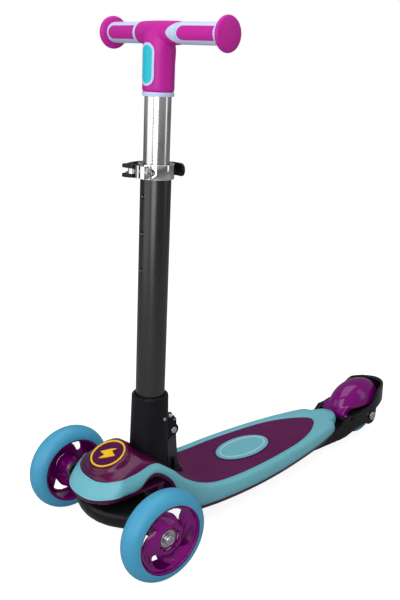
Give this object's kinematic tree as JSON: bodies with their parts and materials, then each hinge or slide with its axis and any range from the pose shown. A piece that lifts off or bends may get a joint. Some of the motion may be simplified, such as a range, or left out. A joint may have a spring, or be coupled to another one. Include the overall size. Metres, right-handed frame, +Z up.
{
  "type": "kick scooter",
  "caption": "Child's lean-to-steer kick scooter with a folding stem, height-adjustable T handlebar, spinning wheels and a rear foot brake.",
  "frame": {"origin": "on the ground, below the centre of the bounding box", "axes": "+X forward, towards the two front wheels; +Y to the rider's left; +Z up"},
  "size_m": [0.5953, 0.245, 0.6515],
  "materials": {
    "aqua_plastic": "satin aqua plastic band",
    "sky_tyre": "smooth sky blue polyurethane",
    "plum_plastic": "dark purple plastic",
    "pearl_plastic": "pearly dark purple plastic",
    "maroon_mat": "matte ribbed maroon rubber",
    "magenta_plastic": "satin magenta plastic",
    "magenta_rubber": "soft magenta rubber",
    "pale_rubber": "soft pale lavender rubber",
    "turquoise_plastic": "turquoise plastic inlay",
    "gold_plastic": "yellow raised emblem on purple",
    "violet_plastic": "glossy translucent violet plastic",
    "black_plastic": "glossy black plastic",
    "black_satin": "matte black plastic",
    "black_paint": "satin black powder coat",
    "steel": "zinc plated steel",
    "spring_steel": "bright spring steel",
    "alloy": "polished aluminium tube",
    "chrome": "polished chrome"
  },
  "bodies": {
    "deck": {"deck_rim": "aqua_plastic", "deck_base": "plum_plastic", "deck_mat": "maroon_mat", "deck_badge": "aqua_plastic", "nose_cover": "pearl_plastic", "nose_emblem": "gold_plastic", "stem_bracket": "black_paint", "kingpin": "steel", "kingpin_nut": "steel", "steering_spring": "spring_steel", "rear_fork": "black_plastic", "rear_axle": "steel", "rear_axle_nut": "steel", "rear_spacer_left": "steel", "rear_spacer_right": "steel", "brake_pin": "steel", "brake_spring": "spring_steel"},
    "truck": {"truck_beam": "black_plastic", "axle_bolt_left": "steel", "axle_bolt_right": "steel", "axle_spacer_left": "steel", "axle_spacer_right": "steel"},
    "front_wheel_left": {"front_tyre_left": "sky_tyre", "front_hub_left": "violet_plastic", "bearing_outer_left": "steel", "bearing_inner_left": "steel"},
    "front_wheel_right": {"front_tyre_right": "sky_tyre", "front_hub_right": "violet_plastic", "bearing_outer_right": "steel", "bearing_inner_right": "steel"},
    "rear_wheel": {"rear_tyre": "sky_tyre", "rear_hub": "violet_plastic", "rear_bearing_left": "steel", "rear_bearing_right": "steel"},
    "brake": {"brake_dome": "violet_plastic", "brake_shoe": "steel"},
    "stem": {"stem_sleeve": "black_satin", "fold_pin": "steel", "latch_pin": "steel", "latch_spring": "spring_steel", "sleeve_pin": "steel", "outer_tube": "black_paint", "clamp_ring": "chrome", "clamp_screw": "steel", "clamp_pivot": "chrome"},
    "fold_latch": {"fold_latch": "black_plastic"},
    "clamp_lever": {"clamp_lever": "black_plastic"},
    "handlebar": {"inner_tube": "alloy", "button_spring": "spring_steel", "handle_body": "magenta_plastic", "handle_insert": "turquoise_plastic", "handle_collar": "pale_rubber", "cross_bar": "alloy", "grip_left": "pale_rubber", "grip_right": "pale_rubber", "grip_pad_left": "magenta_rubber", "grip_pad_right": "magenta_rubber", "grip_knob_left": "magenta_plastic", "grip_knob_right": "magenta_plastic"},
    "height_button": {"height_button": "steel"}
  },
  "joints": [
    {"name": "lean_steer", "type": "hinge", "parent": "deck", "child": "truck", "pos_m": [0.238, 0, 0.058], "axis": [0.5, 0, 0.866], "range_deg": [-10, 10], "stiffness_Nm_per_rad": 80, "deforming": ["steering_spring"]},
    {"name": "front_left_spin", "type": "hinge", "parent": "truck", "child": "front_wheel_left", "pos_m": [0.238, 0.107, 0.06], "axis": [0, 1, 0], "continuous": true},
    {"name": "front_right_spin", "type": "hinge", "parent": "truck", "child": "front_wheel_right", "pos_m": [0.238, -0.107, 0.06], "axis": [0, 1, 0], "continuous": true},
    {"name": "rear_spin", "type": "hinge", "parent": "deck", "child": "rear_wheel", "pos_m": [-0.242, 0, 0.039], "axis": [0, 1, 0], "continuous": true},
    {"name": "brake_press", "type": "hinge", "parent": "deck", "child": "brake", "pos_m": [-0.195, 0, 0.046], "axis": [0, -1, 0], "range_deg": [0, 2.5], "stiffness_Nm_per_rad": 20, "springref_deg": -1.72, "deforming": ["brake_spring"]},
    {"name": "stem_fold", "type": "hinge", "parent": "deck", "child": "stem", "pos_m": [0.146, 0, 0.132], "axis": [0, -1, 0], "range_deg": [0, 87]},
    {"name": "fold_latch_turn", "type": "hinge", "parent": "stem", "child": "fold_latch", "pos_m": [0.1435, 0, 0.1465], "axis": [0, 1, 0], "range_deg": [0, 10], "stiffness_Nm_per_rad": 0.05, "deforming": ["latch_spring"]},
    {"name": "clamp_lever_turn", "type": "hinge", "parent": "stem", "child": "clamp_lever", "pos_m": [0.185, -0.0132, 0.4777], "axis": [-0.0546, 0, 0.9985], "range_deg": [0, 100]},
    {"name": "height_slide", "type": "slide", "parent": "stem", "child": "handlebar", "axis": [-0.0546, 0, 0.9985], "range_m": [-0.0765, 0]},
    {"name": "button_press", "type": "slide", "parent": "handlebar", "child": "height_button", "axis": [-0.9985, 0, -0.0546], "range_m": [0, 0.0028], "stiffness_N_per_m": 300, "deforming": ["button_spring"]}
  ]
}
